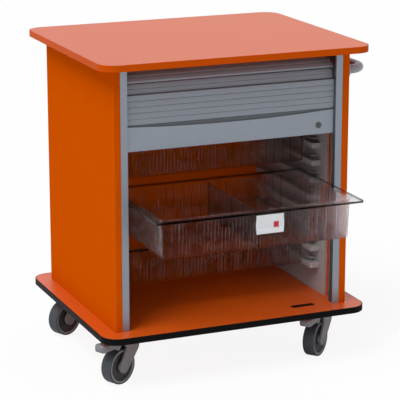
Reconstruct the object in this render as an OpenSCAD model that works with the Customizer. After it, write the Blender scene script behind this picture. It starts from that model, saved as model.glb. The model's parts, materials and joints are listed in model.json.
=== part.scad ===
// Bin trolley: a cabinet on four casters with a roll-up tambour shutter in front,
// three clear storage baskets on runners, and a push handle on its right side.
// +X is right, -Y is the front and +Z is up. The origin is on the floor, under the middle of the boards.

/* [Boards] */
// Width of the worktop and of the base board
board_w = 780; // [740:1:860]
// Depth of the worktop and of the base board
board_d = 646; // [620:1:720]
// Corner radius of both boards
board_r = 48; // [20:1:70]
// Thickness of the worktop
top_t = 18; // [12:1:30]
// Thickness of the base board
base_t = 18; // [14:1:30]
// Thickness of the edge bands round both boards
band_t = 2; // [1:0.5:3]
// How far the boards reach in front of the cabinet
front_overhang = 54; // [40:1:70]

/* [Cabinet] */
// How far the boards reach beyond the cabinet's sides
side_overhang = 45; // [30:0.5:60]
// Space between a pushed-in basket and the back panel
basket_behind = 41; // [36:1:60]
// Clear height between the base board and the worktop
cabinet_h = 717; // [700:1:800]
// Thickness of the side panels
panel_t = 21; // [18:0.5:22]
// Rounding of the side panels' outer edges
panel_r = 6; // [2:1:10]
// Thickness of the back panel
back_t = 16; // [8:1:18]

/* [Shutter] */
// Depth of the guide profile, front to back
guide_d = 26; // [24:1:30]
// Width of the guide profile, seen from the front
guide_w = 20.5; // [18:0.5:22]
// How far the guide profile is set back from the panels' front edges
guide_setback = 1; // [0:0.5:3]
// How far the slats' front is set back from the guides' front
shutter_recess = 13; // [11:0.5:14]
// Height of one slat
slat_pitch = 16; // [15:0.5:17]
// Thickness of a slat
slat_t = 8; // [7.5:0.5:9]
// How far the slats reach into the grooves
slat_grip = 8; // [5:0.5:9]
// Slats on each bend of the track
bend_slats = 5; // [4:1:6]
// Slats hanging straight between the bar and the bend
front_slats = 5; // [3:1:7]
// Slats that have gone over the rear bend
rear_slats = 4; // [1:1:5]
// Height of the shutter bar
bar_h = 69; // [60:1:90]
// Thickness of the shutter bar
bar_t = 14; // [13:0.5:16]
// Depth of the finger recess along the bar's top, at its middle
recess_sag = 9; // [5:1:14]
// How far the front of the bar stands out from the slats
bar_step = 4; // [2:0.5:6]
// Distance between the worktop and the shutter's track
track_gap = 18.5; // [5:0.5:30]

/* [Lock] */
// Distance of the lock from the bar's right end
lock_inset = 45.5; // [30:0.5:70]
// Height of the lock above the bar's lower edge
lock_z = 25; // [22:1:32]
// Diameter of the lock's rosette
lock_d = 18; // [16:0.5:22]
// Diameter of the turning plug
plug_d = 11; // [8:0.5:12]
// Throw of the bolt
bolt_throw = 12; // [8:1:14]
// Width of the bolt plate
bolt_w = 72; // [60:1:80]
// Thickness of the bolt plate
bolt_t = 3; // [2:0.5:3.5]

/* [Runners and baskets] */
// Distance between two runners
runner_pitch = 50; // [46:1:60]
// Height of one runner bar
runner_h = 15; // [10:1:18]
// How far the runners stand out from the liner
runner_reach = 27; // [24:1:30]
// Top of the lowest runner above the base board
runner_floor_h = 90; // [85:1:110]
// Thickness of the liners on the side panels
liner_t = 10; // [6:1:12]
// Clearance between a basket's rim and the guides, to either side
rim_play = 5.5; // [3:0.5:8]
// Depth of a basket over its rim
rim_d = 396; // [370:1:400]
// Width of the basket's rim
rim_flange = 24; // [18:1:24]
// Height of the basket's rim
rim_t = 6; // [4:0.5:7]
// Height of a basket
basket_h = 108; // [80:1:120]
// Wall thickness of a basket
basket_wall = 2.5; // [2:0.5:4]
// How much a basket's wall leans in, from rim to floor
basket_draft = 4; // [2:1:8]
// Distance between the ribs inside a basket
rib_pitch = 25; // [20:1:40]
// How far the ribs stand in from the wall
rib_reach = 4; // [2:0.5:5]
// Runner that the lowest basket lies on, counted up from 0
lower_level = 2; // [2:1:3]
// Runners from one basket to the next
level_step = 3; // [3:1:3]
// How far the middle basket is pulled out
pulled_out = 277; // [200:1:290]

/* [Handle] */
// Diameter of the handle's tube
handle_d = 25; // [20:1:28]
// How far the handle reaches out from the cabinet
handle_reach = 74; // [72:1:100]
// Distance between the handle's two legs
handle_l = 484; // [380:1:490]
// Radius of the handle's bends, at the middle of the tube
handle_bend = 50; // [30:1:50]
// Height of the handle's middle below the worktop
handle_drop = 58; // [40:1:90]

/* [Casters] */
// Diameter of a wheel
wheel_d = 100; // [90:1:104]
// Width of a wheel
wheel_w = 35; // [28:1:36]
// Distance from the swivel axis to the wheel's axle
trail = 38; // [34:1:42]
// Height from the floor to the base board
caster_h = 136; // [132:1:150]
// Distance of the swivel axes from the board's side edges
caster_in_x = 96.5; // [85:0.5:120]
// Distance of the swivel axes from the board's front and back edges
caster_in_y = 102.5; // [85:0.5:120]
// Turn of the front left caster
caster_angle_fl = 207; // [0:0.1:360]
// Turn of the front right caster
caster_angle_fr = 219.5; // [0:0.1:360]
// Turn of the rear left caster
caster_angle_rl = 205; // [0:0.1:360]
// Turn of the rear right caster
caster_angle_rr = 210; // [0:0.1:360]

/* [Hidden] */
$fn = 48;

// Clearances
fit = 0.5; // slats in their grooves
turn_fit = 0.05; // pins in bores
seat = 0.3; // pieces that lie against each other without bearing
through = 1; // how far a cutting shape runs past a face

// Heights
floor_z = caster_h + base_t;
under_z = floor_z + cabinet_h;

// Cabinet faces
body_w = board_w - 2 * side_overhang;
front_y = -board_d / 2 + front_overhang;
liner_setback = 76; // from the panels' front edges, clear of the shutter
runner_setback = 31; // from the liner's front edge
rim_proud = 18; // how far a pushed-in basket's rim stands in front of the runners
liner_y0 = front_y + liner_setback;
runner_y0 = liner_y0 + runner_setback;
rim_front = runner_y0 - rim_proud;
body_d = rim_front - front_y + rim_d + basket_behind + back_t;
back_y = front_y + body_d;
back_in = back_y - back_t;
panel_in = body_w / 2 - panel_t;
guide_in = panel_in - guide_w;
guide_front = front_y + guide_setback;
liner_in = panel_in - liner_t;

// Shutter: the slats hang on beads that lie on the hinge line
slat_front = guide_front + shutter_recess;
bead_in = slat_t * 0.6; // from the slats' front to the hinge line
bead_r = slat_t * 0.2;
socket_r = bead_r + 0.4;
socket_wall = 1;
neck_t = 1.3;
skin_t = bead_in - socket_r - socket_wall - seat;
hinge_y = slat_front + bead_in;
bend_step = 90 / bend_slats;
bend_r = slat_pitch / 2 / sin(bend_step / 2);
bend_sag = bend_r * (1 - cos(bend_step / 2));
slat_w = 2 * (guide_in + slat_grip);
groove_depth = slat_grip + 1;
track_wall = 3;
track_out = bead_in + fit + track_wall;
track_in = slat_t - bead_in + bend_sag + fit + track_wall;
flat_z = under_z - track_gap - track_out;
tangent_z = flat_z - bend_r;
bend_y = hinge_y + bend_r;
flat_slats = floor((back_in - track_out - bend_r - bend_y - 4) / slat_pitch);
flat_l = flat_slats * slat_pitch;
rear_y = bend_y + flat_l + bend_r;
track_drop = slat_pitch * max(1, front_slats + rear_slats - bend_slats);
bar_top = tangent_z - front_slats * slat_pitch;
bar_low = bar_top - bar_h;
bar_front = slat_front - bar_step;
bar_back = bar_front + bar_t;
bar_play = 2; // between the bar's body and the guides
bar_end = guide_in - bar_play;
tongue_step = 3; // from the bar's lower edge to its tongues

// Lock: a crank on the plug works in a window of the flat bolt
bar_wall = 2;
crank_gap = 0.4;
crank_t = 1.6;
crank_r = bolt_throw;
crank_pin_r = 2;
lock_x = bar_end - lock_inset;
lock_h = bar_low + lock_z;
bolt_y = bar_back - bar_wall - crank_gap - bolt_t / 2;
bolt_front = bolt_y - bolt_t / 2;
chamber_y = bolt_front - crank_t - 2 * crank_gap;
chamber_top = lock_h + crank_r + 7;
bolt_x0 = lock_x - bolt_w;
bolt_recess = 4; // from the bar's lower edge up to the drawn-in bolt
bolt_low = bar_low + bolt_recess;
window_play = 0.25 * crank_r;
slot_l = bolt_w + 8;
slot_w = bolt_t + 2;

// Runners and baskets
track_play = 2; // between the track and the liner under it
liner_y1 = rear_y - track_in - track_play;
liner_top = flat_z - track_in - track_play;
runner_y1 = liner_y1 - 12;
lip_t = 3;
lip_l = 30;
lip_y0 = runner_y0 + 20;
lip_gap = rim_t + 1.5;
runner_n = floor((liner_top - floor_z - runner_floor_h - lip_gap - lip_t) / runner_pitch) + 1;
rim_w = 2 * (guide_in - rim_play);
basket_w = rim_w - 2 * rim_flange;
basket_d = rim_d - 2 * rim_flange;
basket_corner = 22;
rim_corner = 10;
rib_t = 1.6;
divider_t = 2;

// Label holder
label_w = 78;
label_h = 62;
label_x = 19;
label_t = 2;

// Casters, each with its swivel axis on Z and its wheel trailing to +X
caster_x = board_w / 2 - caster_in_x;
caster_y = board_d / 2 - caster_in_y;
wheel_r = wheel_d / 2;
fork_gap = wheel_w + 3;
fork_arm = 6;
fork_w = fork_gap + 2 * fork_arm;
plate_t = 4;
plate_w = 95;
plate_d = 75;
plate_sx = 75;
plate_sy = 55;
race_t = 6;
screw_r = 2.9;
screw_l = 15;
crown_top = caster_h - plate_t - race_t - seat;
crown_low = wheel_d + 4;
king_r = 6;
axle_r = 4;
boss_r = 17;
hub_r = 13;
tyre_t = 4;
rim_r = wheel_r - tyre_t;
rim_lip = 5;
arm_r = 23;
arm_top = [2, crown_top - arm_r];
pedal_at = [28, crown_top - 8];
pedal_pin_r = 3;
pedal_reach = 29; // beyond the wheel
pedal_tip = trail + wheel_r + pedal_reach;
pedal_play = 0.7; // between the pedal and the fork's arms
brake_gap = 0.5;

// Handle
handle_y = front_y + body_d / 2;
handle_z = under_z - handle_drop;
handle_x = body_w / 2;
flange_t = 6;

function level_z(k) = floor_z + runner_floor_h + k * runner_pitch;
function rim_top(level) = level_z(level) + seat + rim_t;

// Colours as the object shows them
orange = [0.83, 0.33, 0.03];
alu = [0.54, 0.57, 0.60];
shutter_grey = [0.50, 0.53, 0.56];
clear = [0.75, 0.72, 0.72, 0.45];
liner_white = [0.80, 0.78, 0.78];
black = [0.08, 0.08, 0.08];
caster_grey = [0.47, 0.47, 0.48];
tyre_grey = [0.23, 0.25, 0.28];

// Outline of a rectangle with round corners, centred on the origin
module round_rect(w, d, r) {
    square([w - 2 * r, d], center = true);
    square([w, d - 2 * r], center = true);
    for (x = [-1, 1], y = [-1, 1])
        translate([x * (w / 2 - r), y * (d / 2 - r)]) circle(r);
}

// Outline of two circles and the straight sides that touch both
module link_outline(p, rp, q, rq) {
    d = norm(q - p);
    a = atan2(q[1] - p[1], q[0] - p[0]);
    b = acos((rp - rq) / d);
    translate(p) circle(rp);
    translate(q) circle(rq);
    polygon([
        p + rp * [cos(a + b), sin(a + b)],
        q + rq * [cos(a + b), sin(a + b)],
        q + rq * [cos(a - b), sin(a - b)],
        p + rp * [cos(a - b), sin(a - b)]
    ]);
}

// Mirrors a left-hand piece to the right
module on_side(side) {
    mirror([side > 0 ? 1 : 0, 0, 0]) children();
}

// Boards

module board_core(z, t) {
    translate([0, 0, z]) linear_extrude(t)
        round_rect(board_w - 2 * band_t, board_d - 2 * band_t, board_r - band_t);
}

module edge_band(z, t) {
    translate([0, 0, z]) linear_extrude(t) difference() {
        round_rect(board_w, board_d, board_r);
        round_rect(board_w - 2 * band_t, board_d - 2 * band_t, board_r - band_t);
    }
}

module top_board() {
    color(orange) board_core(under_z, top_t);
}

module top_edge_band() {
    color(orange) edge_band(under_z, top_t);
}

// The bolt of the lock drops into the long slot when the shutter is down
module base_board() {
    color(orange) difference() {
        board_core(caster_h, base_t);
        translate([bolt_x0 + bolt_w / 2, bolt_y, caster_h - through])
            linear_extrude(base_t + 2 * through) bolt_slot();
        caster_places() plate_holes(caster_h - through, screw_l - plate_t + 2, screw_r + 0.1);
    }
}

module bolt_slot() {
    square([slot_l - slot_w, slot_w], center = true);
    for (x = [-1, 1]) translate([x * (slot_l - slot_w) / 2, 0]) circle(slot_w / 2);
}

module base_edge_band() {
    color(black) edge_band(caster_h, base_t);
}

// Cabinet

module side_panel(side) {
    color(orange) on_side(side) translate([-body_w / 2, 0, floor_z])
        linear_extrude(cabinet_h) difference() {
            translate([0, front_y]) square([panel_t, body_d]);
            for (y = [0, 1]) translate([0, y * body_d + front_y]) mirror([0, y]) difference() {
                translate([-through, -through]) square(panel_r + through);
                translate([panel_r, panel_r]) circle(panel_r);
            }
        }
}

module back_panel() {
    color(orange) translate([-panel_in, back_in, floor_z]) cube([2 * panel_in, back_t, cabinet_h]);
}

// Extruded upright with the groove that the slats run in; its front strip goes on past the bend
module guide_profile(side) {
    strip = bend_y - bend_r - track_out - seat - guide_front;
    color(alu) on_side(side) translate([-panel_in, guide_front, floor_z]) {
        linear_extrude(tangent_z - floor_z) difference() {
            guide_outline();
            translate([guide_w - groove_depth, slat_front - fit - guide_front])
                square([groove_depth + through, slat_t + 2 * fit]);
        }
        linear_extrude(cabinet_h) intersection() {
            guide_outline();
            square([guide_w, strip]);
        }
    }
}

module guide_outline() {
    edge = 1.5;
    difference() {
        square([guide_w, guide_d]);
        translate([guide_w - edge, 0]) difference() {
            translate([0, -through]) square(edge + through);
            translate([0, edge]) circle(edge);
        }
    }
}

// Cross-section of the track: x is the distance outwards from the hinge line, y goes across the cabinet
module track_section() {
    difference() {
        translate([-track_in, 0]) square([track_in + track_out, guide_w]);
        translate([track_wall - track_in, guide_w - groove_depth])
            square([track_in + track_out - 2 * track_wall, groove_depth + through]);
    }
}

// Quarter bend of the track in the YZ plane, from the start angle above -Z
module track_bend(start) {
    rotate([start, 0, 0]) rotate([0, 90, 0])
        rotate_extrude(angle = 90) translate([bend_r, 0]) track_section();
}

// Straight stretch of track along +Y with its outer side up
module track_bar(l) {
    rotate([-90, 0, 0]) rotate([0, 0, -90]) linear_extrude(l) track_section();
}

// The track leads the slats over the front bend, back under the worktop and down over the rear bend
module shutter_track(side) {
    color(liner_white) on_side(side) translate([-panel_in, 0, 0]) {
        translate([0, bend_y, tangent_z]) track_bend(180);
        translate([0, bend_y, flat_z]) track_bar(flat_l);
        translate([0, bend_y + flat_l, tangent_z]) track_bend(90);
        translate([0, rear_y, tangent_z]) rotate([-90, 0, 0]) track_bar(track_drop);
    }
}

// Shutter

// Cross-section of a slat: x goes back from its front face, y goes up from its lower bead
module slat_outline() {
    gap = 0.2;
    chamfer = 0.7;
    body_low = socket_r + socket_wall - 0.6;
    body_high = slat_pitch - socket_r - socket_wall - 0.6;
    difference() {
        union() {
            polygon([
                [chamfer, gap], [skin_t, gap], [skin_t, slat_pitch - gap], [chamfer, slat_pitch - gap],
                [0, slat_pitch - gap - chamfer], [0, gap + chamfer]
            ]);
            translate([0, body_low]) square([slat_t, body_high - body_low]);
            translate([bead_in, 0]) circle(socket_r + socket_wall);
            translate([bead_in - neck_t / 2, body_high - through])
                square([neck_t, slat_pitch - body_high + through]);
            translate([bead_in, slat_pitch]) circle(bead_r);
        }
        translate([bead_in, 0]) circle(socket_r);
        translate([bead_in, 0]) polygon([[0, 0], [-6, -7], [6, -7]]);
    }
}

// A slat that hangs straight, with its lower bead on the X axis
module slat() {
    translate([-slat_w / 2, -bead_in, 0]) rotate([90, 0, 90]) linear_extrude(slat_w) slat_outline();
}

module shutter_slats_front() {
    color(shutter_grey) for (i = [0:front_slats - 1])
        translate([0, hinge_y, bar_top + i * slat_pitch]) slat();
}

// A slat on a bend, turn degrees past the bend's front
module bend_slat(turn) {
    rotate([-turn, 0, 0]) translate([0, -bend_r, 0]) rotate([-bend_step / 2, 0, 0]) slat();
}

// Slats over the front bend, along the flat run and down over the rear bend
module shutter_slats_stored() {
    color(shutter_grey) {
        for (i = [0:bend_slats - 1]) translate([0, bend_y, tangent_z]) bend_slat(i * bend_step);
        for (i = [0:flat_slats - 1])
            translate([0, bend_y + i * slat_pitch, flat_z]) rotate([-90, 0, 0]) slat();
        for (i = [0:rear_slats - 1])
            translate([0, bend_y + flat_l, tangent_z]) bend_slat(90 + i * bend_step);
    }
}

// Lowest piece of the shutter: it has tongues for the grooves, a finger recess along its top,
// a bead for the first slat, the lock's bore and the chamber for the bolt
module shutter_bar() {
    lip_gap = 0.2; // under the first slat
    lip_h = 8;
    body_h = bar_h - socket_r - socket_wall - lip_gap;
    chord = bar_end - 5;
    sweep_r = (chord * chord + recess_sag * recess_sag) / 2 / recess_sag;
    color(shutter_grey) difference() {
        union() {
            translate([-bar_end, bar_front, bar_low]) cube([2 * bar_end, bar_t, body_h]);
            translate([-slat_w / 2, slat_front, bar_low + tongue_step])
                cube([slat_w, slat_t, body_h - 2 * tongue_step]);
            translate([-bar_end, slat_front, bar_top - lip_h])
                cube([2 * bar_end, skin_t, lip_h - lip_gap]);
            translate([-bar_end, hinge_y - neck_t / 2, bar_top - 5]) cube([2 * bar_end, neck_t, 5]);
            translate([-bar_end, hinge_y, bar_top]) rotate([0, 90, 0]) cylinder(r = bead_r, h = 2 * bar_end);
        }
        translate([0, bar_front - through, bar_low + body_h - recess_sag + sweep_r]) rotate([-90, 0, 0])
            cylinder(r = sweep_r, h = bar_step + through, $fn = 360);
        translate([lock_x, bar_front - through, lock_h]) rotate([-90, 0, 0])
            cylinder(d = lock_d - 4, h = chamber_y - bar_front + 2 * through);
        translate([bolt_x0 - 3, chamber_y, bar_low - through]) cube([
            bolt_w + crank_r + 3, bar_back - bar_wall - chamber_y, chamber_top - bar_low + through]);
    }
}

module lock_rosette() {
    face = 1.2;
    color(alu) translate([lock_x, bar_front, lock_h]) rotate([-90, 0, 0]) difference() {
        union() {
            translate([0, 0, -face]) cylinder(d = lock_d, h = face);
            cylinder(d = lock_d - 4 - 2 * turn_fit, h = chamber_y - bar_front - 0.2);
        }
        translate([0, 0, -face - through]) cylinder(d = plug_d, h = bar_t);
    }
}

// The plug turns with the key, and its crank moves the bolt
module lock_plug() {
    plug_l = chamber_y + crank_gap - bar_front;
    face = 1.8;
    color([0.35, 0.36, 0.38]) translate([lock_x, bar_front, lock_h]) rotate([-90, 0, 0]) difference() {
        union() {
            translate([0, 0, -face]) cylinder(d = plug_d - 2 * turn_fit, h = plug_l + face);
            translate([0, 0, plug_l]) linear_extrude(crank_t)
                link_outline([0, 0], plug_d / 2 - 1, [-crank_r, 0], crank_pin_r + 1);
            translate([-crank_r, 0, plug_l]) cylinder(r = crank_pin_r, h = crank_t + crank_gap + bolt_t);
        }
        translate([-0.8, -3.5, -face - through]) cube([1.6, 7, 3 + through]);
    }
}

// Flat bolt with the window that the crank's pin works in
module lock_bolt() {
    rail = 5;
    window_x0 = lock_x - crank_r - crank_pin_r - 1;
    window_w = crank_r + 2 * crank_pin_r + 2;
    window_z0 = lock_h - crank_pin_r - window_play;
    window_h = 2 * crank_pin_r + window_play + crank_gap;
    color([0.6, 0.6, 0.62]) translate([0, bolt_front, 0]) difference() {
        union() {
            translate([bolt_x0, 0, bolt_low]) cube([bolt_w, bolt_t, window_z0 + window_h + rail - bolt_low]);
            translate([bolt_x0, 0, window_z0 - rail])
                cube([window_x0 + window_w + rail - bolt_x0, bolt_t, window_h + 2 * rail]);
        }
        translate([window_x0, -through, window_z0]) cube([window_w, bolt_t + 2 * through, window_h]);
    }
}

// Liners and baskets

// Bar that a basket's rim slides on, with a stop above its front end that keeps the basket level
module runner(z) {
    nose = 4;
    translate([liner_t, runner_y0, z - runner_h]) difference() {
        cube([runner_reach, runner_y1 - runner_y0, runner_h]);
        translate([runner_reach - nose, 0, -through]) difference() {
            translate([0, -through, 0]) cube([nose + through, nose + through, runner_h + 2 * through]);
            translate([0, nose, -through]) cylinder(r = nose, h = runner_h + 4 * through);
        }
    }
}

// Keeps a basket level that is pulled out of the runner below
module tilt_stop(z) {
    translate([liner_t, lip_y0, z + lip_gap]) cube([runner_reach - 8, lip_l, lip_t]);
}

module runners(side) {
    color(liner_white) on_side(side) translate([-panel_in, 0, 0]) for (k = [0:runner_n - 1]) {
        runner(level_z(k));
        tilt_stop(level_z(k));
    }
}

module liner(side) {
    color(liner_white) on_side(side) translate([-panel_in, 0, 0]) difference() {
        translate([0, liner_y0, floor_z]) cube([liner_t, liner_y1 - liner_y0, liner_top - floor_z]);
        translate([-through, bend_y + flat_l, tangent_z]) under_bend(liner_t + 2 * through);
    }
}

// What is cut off the liner's top rear corner to leave room for the track's bend
module under_bend(w) {
    difference() {
        cube([w, 2 * bend_r, 2 * bend_r]);
        rotate([0, 90, 0]) translate([0, 0, -through])
            cylinder(r = bend_r - track_in - track_play, h = w + 2 * through);
    }
}

module liner_screws() {
    for (s = [-1, 1], y = [liner_y0 + 12, liner_y1 - 6], k = [1:4:runner_n - 1])
        color(alu) on_side(s) translate([-liner_in, y, level_z(k) - runner_h / 2])
            rotate([0, 90, 0]) pan_head(4);
}

module pan_head(r) {
    cylinder(r = r, h = 1);
    translate([0, 0, 1]) cylinder(r1 = r, r2 = r * 0.6, h = 1);
}

// Block with round upright edges that narrows downwards
module tapered_block(w, d, h, lean, r) {
    slice = 0.01;
    hull() for (x = [-1, 1], y = [-1, 1]) {
        translate([x * (w / 2 - r), y * (d / 2 - r), h - slice]) cylinder(r = r, h = slice, $fn = 24);
        translate([x * (w / 2 - lean - r), y * (d / 2 - lean - r), 0]) cylinder(r = r, h = slice, $fn = 24);
    }
}

// Places a basket or what it holds: the middle of its footprint and the underside of its floor
module at_basket(level, pull) {
    translate([0, rim_front - pull + rim_d / 2, rim_top(level) - basket_h]) children();
}

// A clear basket: rim, leaning walls and the upright ribs that hold dividers
module basket(level, pull) {
    color(clear) at_basket(level, pull) {
        difference() {
            union() {
                tapered_block(basket_w, basket_d, basket_h - rim_t / 2, basket_draft, basket_corner);
                translate([0, 0, basket_h - rim_t]) linear_extrude(rim_t)
                    round_rect(rim_w, rim_d, rim_corner);
            }
            translate([0, 0, basket_wall]) tapered_block(basket_w - 2 * basket_wall,
                basket_d - 2 * basket_wall, basket_h, basket_draft, basket_corner - basket_wall);
            translate([0, 0, basket_h - rim_t - through]) rim_underside();
        }
        for (side = [0, 180]) rotate(side) {
            wall_ribs(basket_w, basket_d);
            rotate(90) wall_ribs(basket_d, basket_w);
        }
    }
}

// Hollow under the rim that leaves its top and its turned-down edge
module rim_underside() {
    skin = 2.5;
    linear_extrude(rim_t + through - skin) difference() {
        round_rect(rim_w - 2 * skin, rim_d - 2 * skin, rim_corner - skin);
        round_rect(basket_w, basket_d, basket_corner);
    }
}

// Row of ribs on the wall at -y, which follow its lean and stay clear of the corners
module wall_ribs(w, d) {
    n = floor((w / 2 - basket_corner - 4) / rib_pitch);
    for (i = [-n:n]) translate([i * rib_pitch - rib_t / 2, -d / 2, 0]) rotate([90, 0, 90])
        linear_extrude(rib_t) rib_outline(basket_wall / 2, basket_wall + rib_reach);
}

// Strip along the leaning wall, from one distance behind its outer face to another
module rib_outline(from, to) {
    low = basket_wall / 2;
    high = basket_h - rim_t;
    polygon([
        [from + basket_draft, low], [to + basket_draft, low],
        [to, high], [from, high]
    ]);
}

// Wall across the basket, whose forked ends straddle a rib at the front and one at the back
module basket_divider() {
    end = basket_wall + rib_reach + 0.5;
    low = basket_wall;
    high = basket_h - rim_t;
    half = basket_d / 2 - end;
    rib_n = floor((half - basket_draft) / rib_pitch - 0.4);
    color(clear) at_basket(lower_level + level_step, pulled_out) {
        translate([-divider_t / 2, 0, 0]) rotate([90, 0, 90]) linear_extrude(divider_t) polygon([
            [-half + basket_draft, low], [half - basket_draft, low], [half, high], [-half, high]
        ]);
        for (side = [0, 180], x = [-1, 1]) rotate(side)
            translate([x * (rib_t / 2 + seat + 0.6) - 0.6, -basket_d / 2, 0]) rotate([90, 0, 90])
                linear_extrude(1.2) translate([0, 0.5 * basket_wall + 0.3])
                    rib_outline(end - rib_reach, end + 5);
        for (i = [-rib_n:rib_n])
            translate([-divider_t / 2 - 1.5, (i + 0.5) * rib_pitch - rib_t / 2, low + 2])
                cube([divider_t + 3, rib_t, high - low - 4]);
    }
}

// Label holder that hooks over the front rim of the middle basket
module label_holder() {
    fold_h = 0.32 * label_h;
    hook_l = 14;
    hook_w = 6;
    hook_t = 1.5;
    low = -4 - label_h;
    color([0.85, 0.86, 0.87]) at_label() {
        translate([-label_w / 2, 0, low]) cube([label_w, label_t, label_h]);
        translate([-label_w / 2 - 1.5, 0, low + fold_h]) cube([label_w + 3, label_t, label_h - 2 * fold_h]);
        translate([-label_w / 2, -1, low]) cube([label_w, label_t, fold_h]);
        for (x = [-1, 0, 1]) translate([x * (label_w / 2 - hook_w) - hook_w / 2, 0, 0]) {
            translate([0, 0, -8]) cube([hook_w, label_t, 8 + seat + hook_t]);
            translate([0, 0, seat]) cube([hook_w, hook_l, hook_t]);
        }
    }
}

// Front of the rim of the middle basket, at its top
module at_label() {
    translate([label_x, rim_front - pulled_out - label_t - seat, rim_top(lower_level + level_step)])
        children();
}

module label_tab() {
    tab = [14, 1, 15];
    tab_low = 0.7 * label_h;
    color([0.75, 0.12, 0.18]) at_label() translate([10, -tab[1], -tab_low]) cube(tab);
}

// Handle

module push_handle() {
    r = handle_d / 2;
    out = handle_reach - r;
    color(caster_grey) translate([handle_x, handle_y, handle_z]) {
        for (s = [-1, 1]) mirror([0, s > 0 ? 1 : 0, 0]) {
            translate([flange_t, -handle_l / 2, 0]) rotate([0, 90, 0])
                cylinder(r = r, h = out - handle_bend - flange_t);
            translate([out - handle_bend, -handle_l / 2 + handle_bend, 0]) rotate([0, 0, -90])
                rotate_extrude(angle = 90) translate([handle_bend, 0]) circle(r);
        }
        translate([out, -handle_l / 2 + handle_bend, 0]) rotate([-90, 0, 0])
            cylinder(r = r, h = handle_l - 2 * handle_bend);
    }
}

module handle_flanges() {
    color(caster_grey) for (s = [-1, 1])
        translate([handle_x, handle_y + s * handle_l / 2, handle_z]) rotate([0, 90, 0]) difference() {
            cylinder(r1 = handle_d, r2 = handle_d - 3, h = flange_t);
            for (a = [0, 180]) rotate(a) translate([handle_d * 0.74, 0, -through])
                cylinder(r = 2.2, h = flange_t + 2 * through);
        }
}

module handle_screws() {
    color(alu) for (s = [-1, 1], a = [0, 180])
        translate([handle_x, handle_y + s * handle_l / 2, handle_z]) rotate([0, 90, 0])
            rotate(a) translate([handle_d * 0.74, 0, 0]) {
                cylinder(r = 2, h = flange_t + 1);
                translate([0, 0, flange_t]) cylinder(r = 3.6, h = 1.6);
            }
}

// Casters

module at_caster(sx, sy, turn) {
    translate([sx * caster_x, sy * caster_y, 0]) rotate([0, 0, turn]) children();
}

module at_fl() {
    at_caster(-1, -1, caster_angle_fl) children();
}

module at_fr() {
    at_caster(1, -1, caster_angle_fr) children();
}

module at_rl() {
    at_caster(-1, 1, caster_angle_rl) children();
}

module at_rr() {
    at_caster(1, 1, caster_angle_rr) children();
}

module caster_places() {
    for (x = [-1, 1], y = [-1, 1]) translate([x * caster_x, y * caster_y, 0]) children();
}

module plate_holes(z, h, r) {
    for (x = [-1, 1], y = [-1, 1])
        translate([x * plate_sx / 2, y * plate_sy / 2, z]) cylinder(r = r, h = h);
}

// Draws an outline in the wheel's plane and gives it a width, centred on that plane
module across(w) {
    translate([0, w / 2, 0]) rotate([90, 0, 0]) linear_extrude(w) children();
}

// Pin or bore across the caster, centred on the wheel's plane
module cross_pin(at, r, l) {
    translate([at[0], l / 2, at[1]]) rotate([90, 0, 0]) cylinder(r = r, h = l);
}

// Top plate with its race and the king pin that the fork turns on
module caster_plate(sx, sy) {
    color([0.62, 0.63, 0.65]) translate([sx * caster_x, sy * caster_y, 0]) difference() {
        union() {
            translate([0, 0, caster_h - plate_t]) linear_extrude(plate_t) round_rect(plate_w, plate_d, 8);
            translate([0, 0, caster_h - plate_t - race_t]) cylinder(r1 = 20, r2 = 25, h = race_t);
            translate([0, 0, crown_low]) cylinder(r = king_r, h = caster_h - crown_low - 1);
        }
        plate_holes(caster_h - plate_t - through, plate_t + 2 * through, screw_r + 0.4);
    }
}

module caster_screws() {
    head_h = 3;
    color(alu) caster_places() {
        plate_holes(caster_h - plate_t, screw_l, screw_r);
        for (x = [-1, 1], y = [-1, 1])
            translate([x * plate_sx / 2, y * plate_sy / 2, caster_h - plate_t - head_h])
                cylinder(r1 = 4.5, r2 = 6, h = head_h);
    }
}

// Moulded fork: a crown round the king pin, a hood over the wheel and an arm down each side of it
module caster_fork(braked) {
    crown_h = crown_top - crown_low;
    color(caster_grey) difference() {
        union() {
            translate([0, 0, crown_low]) cylinder(r = fork_w / 2, h = crown_h);
            across(fork_w) link_outline(arm_top, arm_r, [trail, wheel_r], boss_r);
            if (braked) across(fork_w) link_outline(arm_top, arm_r, pedal_at, 8);
        }
        wheel_space();
        translate([0, 0, crown_low - through]) cylinder(r = king_r + turn_fit, h = crown_h + 2 * through);
        cross_pin([trail, wheel_r], axle_r + turn_fit, fork_w - fork_arm);
        if (braked) pedal_space();
    }
}

// Room for the wheel between the fork's arms
module wheel_space() {
    across(fork_gap) {
        translate([trail, wheel_r]) circle(wheel_r + 3, $fn = 96);
        translate([-wheel_d, -through]) square([2 * wheel_d, wheel_r]);
    }
}

// Room for the pedal above the wheel, open to the trailing side, and the bore for its pin
module pedal_space() {
    translate([pedal_at[0] - 12, -fork_gap / 2, wheel_r]) cube([wheel_d, fork_gap, wheel_d]);
    cross_pin(pedal_at, pedal_pin_r + turn_fit, fork_w - 4);
}

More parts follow.
